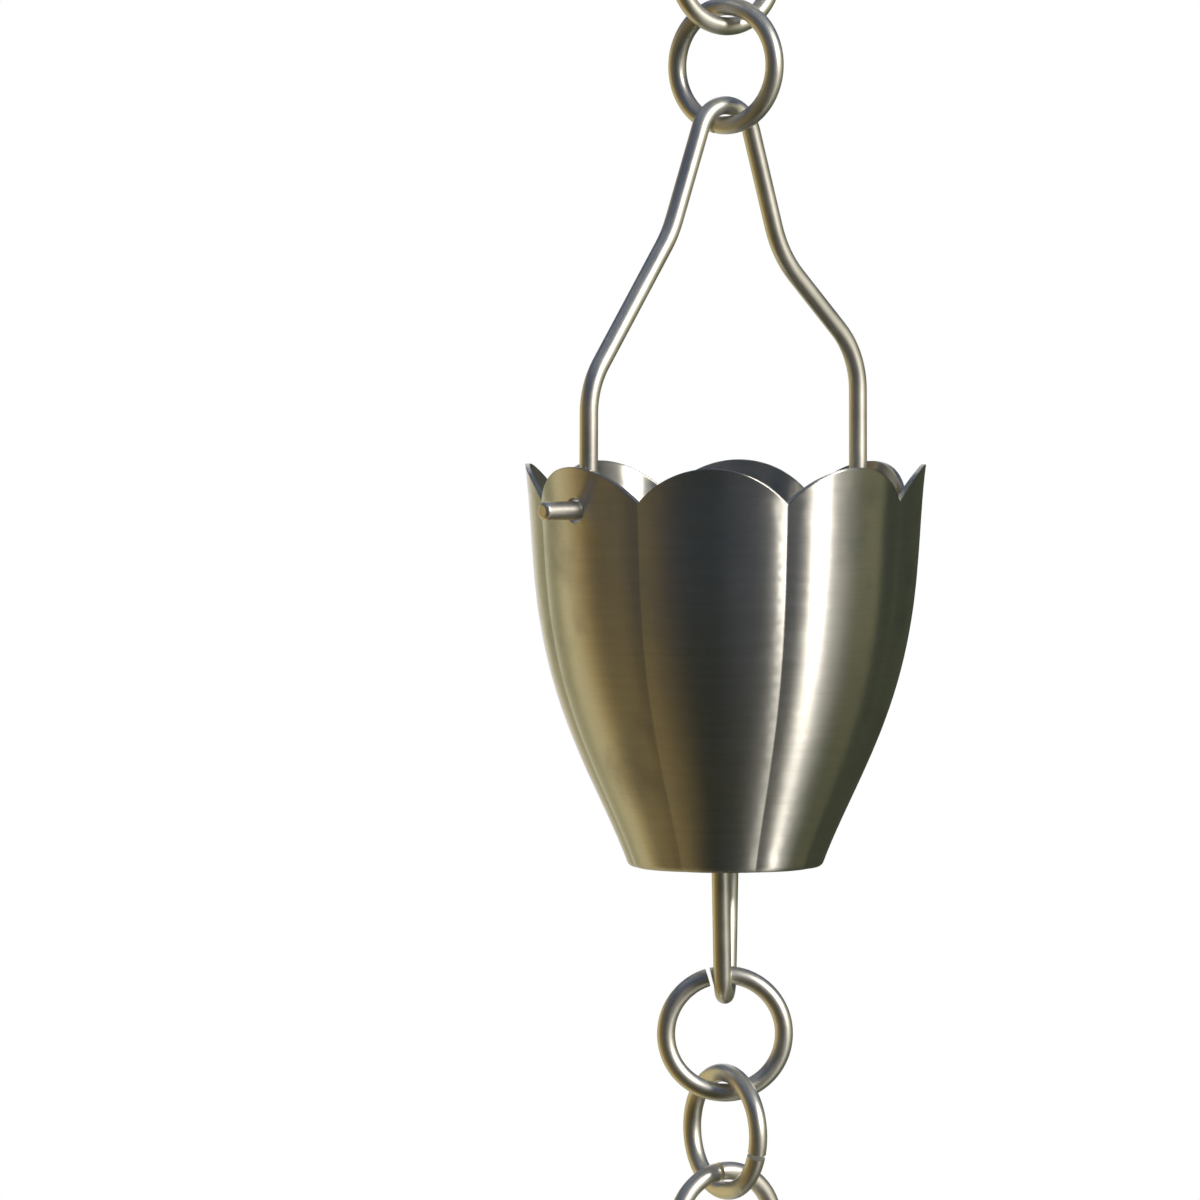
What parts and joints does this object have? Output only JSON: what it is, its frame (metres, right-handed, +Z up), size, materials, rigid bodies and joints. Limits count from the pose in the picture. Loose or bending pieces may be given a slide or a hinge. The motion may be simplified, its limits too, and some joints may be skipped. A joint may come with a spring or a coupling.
{
  "type": "rain chain",
  "caption": "Hanging rain chain: fluted open-bottom steel cups on wire bails, linked by butted rings and V hooks, that leads roof water down from a gutter.",
  "frame": {"origin": "where the hanging ring bears on its hook, at the inside top of the ring", "axes": "+Z up, the chain hangs along -Z; -Y is the side that faces the camera of the picture"},
  "size_m": [0.0819, 0.0702, 0.6205],
  "materials": {
    "cup_steel": "brushed round the cup",
    "wire_steel": "satin drawn wire"
  },
  "bodies": {
    "hanging_ring": {"hanging_ring": "wire_steel"},
    "top_link_ring": {"top_link_ring": "wire_steel"},
    "bail_1": {"bail_1": "wire_steel"},
    "cup_1": {"cup_1": "cup_steel"},
    "drop_hook_1": {"drop_hook_1": "wire_steel"},
    "link_ring_1_upper": {"link_ring_1_upper": "wire_steel"},
    "link_ring_1_middle": {"link_ring_1_middle": "wire_steel"},
    "link_ring_1_lower": {"link_ring_1_lower": "wire_steel"},
    "bail_2": {"bail_2": "wire_steel"},
    "cup_2": {"cup_2": "cup_steel"},
    "drop_hook_2": {"drop_hook_2": "wire_steel"},
    "link_ring_2_upper": {"link_ring_2_upper": "wire_steel"},
    "link_ring_2_middle": {"link_ring_2_middle": "wire_steel"},
    "link_ring_2_lower": {"link_ring_2_lower": "wire_steel"},
    "bail_3": {"bail_3": "wire_steel"},
    "cup_3": {"cup_3": "cup_steel"},
    "drop_hook_3": {"drop_hook_3": "wire_steel"},
    "tail_ring": {"tail_ring": "wire_steel"}
  },
  "joints": [
    {"name": "top_link_ring_swing", "type": "hinge", "parent": "hanging_ring", "child": "top_link_ring", "pos_m": [0, 0, -0.0192], "axis": [1, 0, 0], "range_deg": [-90, 90]},
    {"name": "bail_1_swing", "type": "hinge", "parent": "top_link_ring", "child": "bail_1", "pos_m": [0, 0, -0.0365], "axis": [-0.3746, 0.9272, 0], "range_deg": [-90, 90]},
    {"name": "cup_1_tilt", "type": "hinge", "parent": "bail_1", "child": "cup_1", "pos_m": [0, 0, -0.1033], "axis": [0.9848, 0.1736, 0], "range_deg": [-45, 45]},
    {"name": "drop_hook_1_swivel", "type": "hinge", "parent": "cup_1", "child": "drop_hook_1", "pos_m": [0, 0, -0.1665], "axis": [0, 0, 1], "continuous": true},
    {"name": "link_ring_1_upper_swing", "type": "hinge", "parent": "drop_hook_1", "child": "link_ring_1_upper", "pos_m": [0, 0, -0.1892], "axis": [0.9781, 0.2079, 0], "range_deg": [-90, 90]},
    {"name": "link_ring_1_middle_swing", "type": "hinge", "parent": "link_ring_1_upper", "child": "link_ring_1_middle", "pos_m": [0, 0, -0.2065], "axis": [-0.342, 0.9397, 0], "range_deg": [-90, 90]},
    {"name": "link_ring_1_lower_swing", "type": "hinge", "parent": "link_ring_1_middle", "child": "link_ring_1_lower", "pos_m": [0, 0, -0.2238], "axis": [0.8192, 0.5736, 0], "range_deg": [-90, 90]},
    {"name": "bail_2_swing", "type": "hinge", "parent": "link_ring_1_lower", "child": "bail_2", "pos_m": [0, 0, -0.2411], "axis": [-0.809, 0.5878, 0], "range_deg": [-90, 90]},
    {"name": "cup_2_tilt", "type": "hinge", "parent": "bail_2", "child": "cup_2", "pos_m": [0, 0, -0.3079], "axis": [0.766, 0.6428, 0], "range_deg": [-45, 45]},
    {"name": "drop_hook_2_swivel", "type": "hinge", "parent": "cup_2", "child": "drop_hook_2", "pos_m": [0, 0, -0.3711], "axis": [0, 0, 1], "continuous": true},
    {"name": "link_ring_2_upper_swing", "type": "hinge", "parent": "drop_hook_2", "child": "link_ring_2_upper", "pos_m": [0, 0, -0.3938], "axis": [0.1219, 0.9925, 0], "range_deg": [-90, 90]},
    {"name": "link_ring_2_middle_swing", "type": "hinge", "parent": "link_ring_2_upper", "child": "link_ring_2_middle", "pos_m": [0, 0, -0.4111], "axis": [-0.9986, -0.0523, 0], "range_deg": [-90, 90]},
    {"name": "link_ring_2_lower_swing", "type": "hinge", "parent": "link_ring_2_middle", "child": "link_ring_2_lower", "pos_m": [0, 0, -0.4284], "axis": [0.5446, -0.8387, 0], "range_deg": [-90, 90]},
    {"name": "bail_3_swing", "type": "hinge", "parent": "link_ring_2_lower", "child": "bail_3", "pos_m": [0, 0, -0.4457], "axis": [-0.8387, -0.5446, 0], "range_deg": [-90, 90]},
    {"name": "cup_3_tilt", "type": "hinge", "parent": "bail_3", "child": "cup_3", "pos_m": [0, 0, -0.5125], "axis": [-0.809, 0.5878, 0], "range_deg": [-45, 45]},
    {"name": "drop_hook_3_swivel", "type": "hinge", "parent": "cup_3", "child": "drop_hook_3", "pos_m": [0, 0, -0.5757], "axis": [0, 0, 1], "continuous": true},
    {"name": "tail_ring_swing", "type": "hinge", "parent": "drop_hook_3", "child": "tail_ring", "pos_m": [0, 0, -0.5984], "axis": [0.0349, 0.9994, 0], "range_deg": [-90, 90]}
  ]
}
